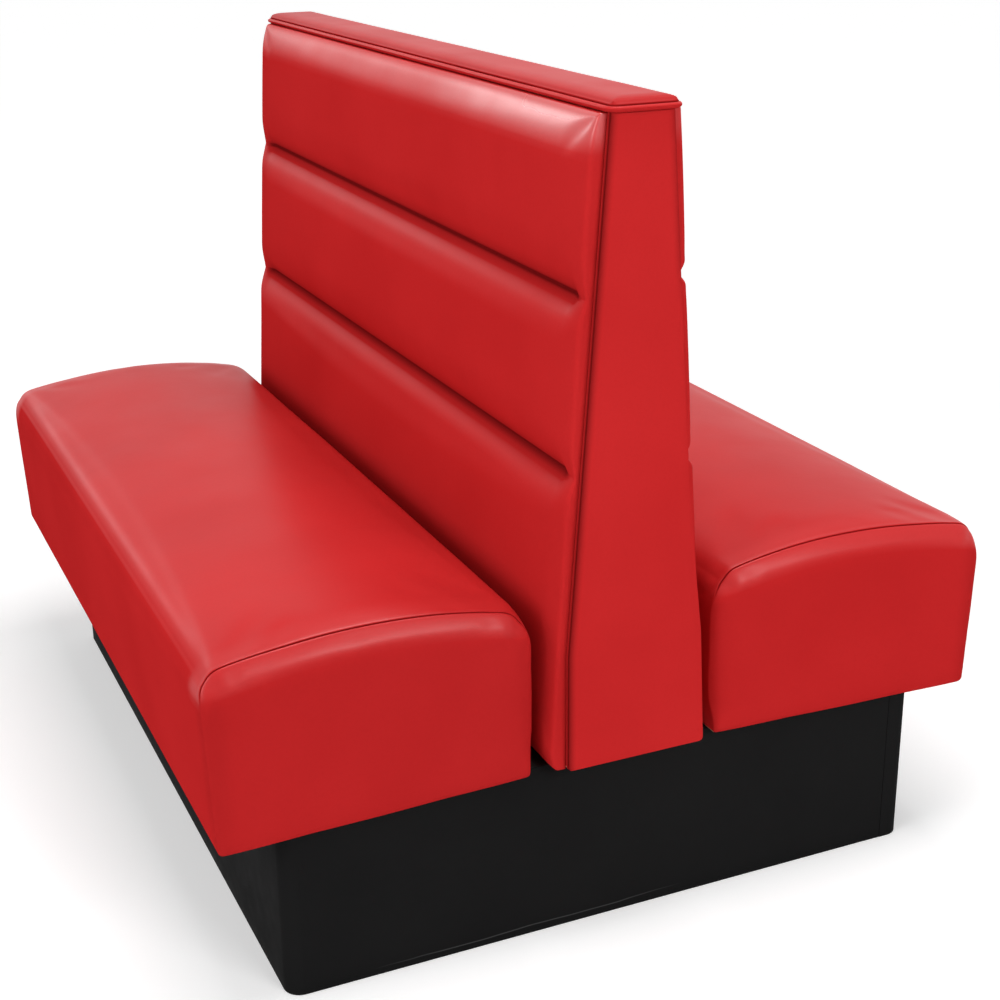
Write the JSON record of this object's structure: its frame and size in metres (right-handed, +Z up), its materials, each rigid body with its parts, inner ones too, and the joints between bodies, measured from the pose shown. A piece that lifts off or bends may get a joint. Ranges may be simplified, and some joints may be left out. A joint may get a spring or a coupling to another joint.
{
  "type": "restaurant booth seating",
  "caption": "Double restaurant booth: two upholstered box seats share a channelled backrest with a padded cap, on a recessed plinth.",
  "frame": {"origin": "on the floor, under the middle of the booth", "axes": "+X along the booth towards the end that faces the camera in the picture, +Y from the front seat to the rear seat, +Z up"},
  "size_m": [1.239, 1.0666, 1.0565],
  "materials": {
    "red_vinyl": "smooth upholstery vinyl, satin gloss",
    "red_welt": "vinyl piping cord",
    "black_cover": "black vinyl sheet",
    "plywood": "raw plywood",
    "hardwood": "planed rails",
    "foam": "upholstery foam",
    "dust_cloth": "black cambric",
    "steel": "zinc plated"
  },
  "bodies": {
    "root": {"back_bottom_rail": "hardwood", "back_cover_front": "red_vinyl", "back_cover_rear": "red_vinyl", "back_end_board_far": "plywood", "back_end_board_near": "plywood", "back_end_cover_far": "red_vinyl", "back_end_cover_near": "red_vinyl", "back_foam_front_lower": "foam", "back_foam_front_middle": "foam", "back_foam_front_upper": "foam", "back_foam_rear_lower": "foam", "back_foam_rear_middle": "foam", "back_foam_rear_upper": "foam", "back_gusset_centre": "plywood", "back_gusset_far": "plywood", "back_gusset_near": "plywood", "back_panel_front": "plywood", "back_panel_rear": "plywood", "back_screws": "steel", "back_top_rail": "hardwood", "cap_board": "plywood", "cap_cover": "red_vinyl", "cap_pad": "foam", "cap_screws": "steel", "cap_welt": "red_welt", "end_board_screws": "steel", "front_seat_back_rail": "hardwood", "front_seat_centre_rail": "hardwood", "front_seat_cover": "red_vinyl", "front_seat_deck": "plywood", "front_seat_dust_cover": "dust_cloth", "front_seat_end_panel_far": "red_vinyl", "front_seat_end_panel_near": "red_vinyl", "front_seat_end_rail_far": "hardwood", "front_seat_end_rail_near": "hardwood", "front_seat_foam": "foam", "front_seat_front_rail": "hardwood", "kick_cover_front": "black_cover", "kick_cover_rear": "black_cover", "plinth_corner_posts": "hardwood", "plinth_cross_rail_far": "hardwood", "plinth_cross_rail_near": "hardwood", "plinth_end_board_far": "plywood", "plinth_end_board_near": "plywood", "plinth_front_board": "hardwood", "plinth_rear_board": "hardwood", "plinth_top_front": "plywood", "plinth_top_rear": "plywood", "rear_seat_back_rail": "hardwood", "rear_seat_centre_rail": "hardwood", "rear_seat_cover": "red_vinyl", "rear_seat_deck": "plywood", "rear_seat_dust_cover": "dust_cloth", "rear_seat_end_panel_far": "red_vinyl", "rear_seat_end_panel_near": "red_vinyl", "rear_seat_end_rail_far": "hardwood", "rear_seat_end_rail_near": "hardwood", "rear_seat_foam": "foam", "rear_seat_front_rail": "hardwood", "seat_screws": "steel"}
  },
  "joints": []
}
